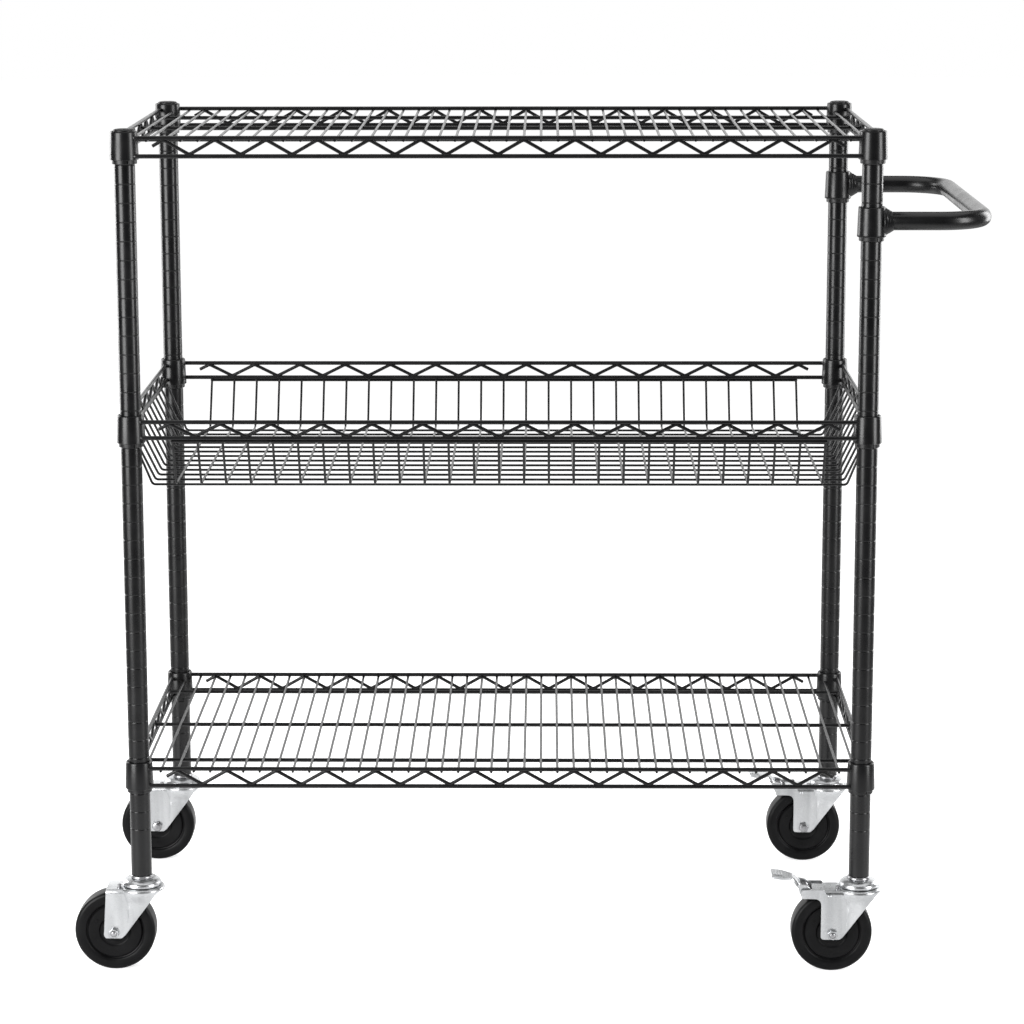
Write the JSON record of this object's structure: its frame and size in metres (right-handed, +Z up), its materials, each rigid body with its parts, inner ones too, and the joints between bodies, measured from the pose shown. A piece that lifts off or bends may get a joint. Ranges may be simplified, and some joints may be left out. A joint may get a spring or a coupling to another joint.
{
  "type": "wire shelf cart",
  "caption": "Rolling wire cart with flat wire shelves at top and bottom, a shallow wire basket between them, a tube handle on one end and swivel casters.",
  "frame": {"origin": "on the floor, under the middle of the whole cart with its wheels and handle", "axes": "+X towards the handle end, +Y towards the rear long side, +Z up; the caster wheels trail towards -X"},
  "size_m": [1.1122, 0.48, 1.0345],
  "materials": {
    "black_coating": "semi-gloss black powder coat on steel tube and wire",
    "black_plastic": "moulded black plastic",
    "zinc_steel": "bright zinc plated pressed steel",
    "plain_steel": "zinc plated bolts, nuts and bearing balls",
    "bush_bronze": "sintered bronze",
    "wheel_rubber": "smooth black tread and hub",
    "pad_rubber": "black brake pad"
  },
  "bodies": {
    "cart": {"shelf_top": "black_coating", "shelf_bottom": "black_coating", "basket_frame": "black_coating", "basket_tub": "black_coating", "push_handle": "black_coating", "post_front_left": "black_coating", "cap_front_left": "black_plastic", "sleeve_bottom_front_left": "black_plastic", "sleeve_basket_front_left": "black_plastic", "sleeve_top_front_left": "black_plastic", "stem_front_left": "zinc_steel", "post_front_right": "black_coating", "cap_front_right": "black_plastic", "sleeve_bottom_front_right": "black_plastic", "sleeve_basket_front_right": "black_plastic", "sleeve_top_front_right": "black_plastic", "sleeve_handle_front_right": "black_plastic", "stem_front_right": "zinc_steel", "post_rear_left": "black_coating", "cap_rear_left": "black_plastic", "sleeve_bottom_rear_left": "black_plastic", "sleeve_basket_rear_left": "black_plastic", "sleeve_top_rear_left": "black_plastic", "stem_rear_left": "zinc_steel", "post_rear_right": "black_coating", "cap_rear_right": "black_plastic", "sleeve_bottom_rear_right": "black_plastic", "sleeve_basket_rear_right": "black_plastic", "sleeve_top_rear_right": "black_plastic", "sleeve_handle_rear_right": "black_plastic", "stem_rear_right": "zinc_steel"},
    "swivel_front_left": {"fork_front_left": "zinc_steel", "ball_ring_front_left": "plain_steel", "bush_front_left": "bush_bronze", "bolt_front_left": "plain_steel", "nut_front_left": "plain_steel"},
    "roller_front_left": {"wheel_front_left": "wheel_rubber"},
    "swivel_front_right": {"fork_front_right": "zinc_steel", "ball_ring_front_right": "plain_steel", "bush_front_right": "bush_bronze", "bolt_front_right": "plain_steel", "nut_front_right": "plain_steel"},
    "roller_front_right": {"wheel_front_right": "wheel_rubber"},
    "brake_front_right": {"brake_pedal_front_right": "zinc_steel", "brake_pad_front_right": "pad_rubber"},
    "swivel_rear_left": {"fork_rear_left": "zinc_steel", "ball_ring_rear_left": "plain_steel", "bush_rear_left": "bush_bronze", "bolt_rear_left": "plain_steel", "nut_rear_left": "plain_steel"},
    "roller_rear_left": {"wheel_rear_left": "wheel_rubber"},
    "swivel_rear_right": {"fork_rear_right": "zinc_steel", "ball_ring_rear_right": "plain_steel", "bush_rear_right": "bush_bronze", "bolt_rear_right": "plain_steel", "nut_rear_right": "plain_steel"},
    "roller_rear_right": {"wheel_rear_right": "wheel_rubber"},
    "brake_rear_right": {"brake_pedal_rear_right": "zinc_steel", "brake_pad_rear_right": "pad_rubber"}
  },
  "joints": [
    {"name": "swivel_turn_front_left", "type": "hinge", "parent": "cart", "child": "swivel_front_left", "pos_m": [-0.47355, -0.212, 0.1], "axis": [0, 0, 1], "continuous": true},
    {"name": "wheel_spin_front_left", "type": "hinge", "parent": "swivel_front_left", "child": "roller_front_left", "pos_m": [-0.50655, -0.212, 0.0495], "axis": [0, 1, 0], "continuous": true},
    {"name": "swivel_turn_front_right", "type": "hinge", "parent": "cart", "child": "swivel_front_right", "pos_m": [0.40745, -0.212, 0.1], "axis": [0, 0, 1], "continuous": true},
    {"name": "wheel_spin_front_right", "type": "hinge", "parent": "swivel_front_right", "child": "roller_front_right", "pos_m": [0.37445, -0.212, 0.0495], "axis": [0, 1, 0], "continuous": true},
    {"name": "brake_press_front_right", "type": "hinge", "parent": "swivel_front_right", "child": "brake_front_right", "pos_m": [0.34115, -0.212, 0.1031], "axis": [0, -1, 0], "range_deg": [0, 30]},
    {"name": "swivel_turn_rear_left", "type": "hinge", "parent": "cart", "child": "swivel_rear_left", "pos_m": [-0.47355, 0.212, 0.1], "axis": [0, 0, 1], "continuous": true},
    {"name": "wheel_spin_rear_left", "type": "hinge", "parent": "swivel_rear_left", "child": "roller_rear_left", "pos_m": [-0.50655, 0.212, 0.0495], "axis": [0, 1, 0], "continuous": true},
    {"name": "swivel_turn_rear_right", "type": "hinge", "parent": "cart", "child": "swivel_rear_right", "pos_m": [0.40745, 0.212, 0.1], "axis": [0, 0, 1], "continuous": true},
    {"name": "wheel_spin_rear_right", "type": "hinge", "parent": "swivel_rear_right", "child": "roller_rear_right", "pos_m": [0.37445, 0.212, 0.0495], "axis": [0, 1, 0], "continuous": true},
    {"name": "brake_press_rear_right", "type": "hinge", "parent": "swivel_rear_right", "child": "brake_rear_right", "pos_m": [0.34115, 0.212, 0.1031], "axis": [0, -1, 0], "range_deg": [0, 30]}
  ]
}
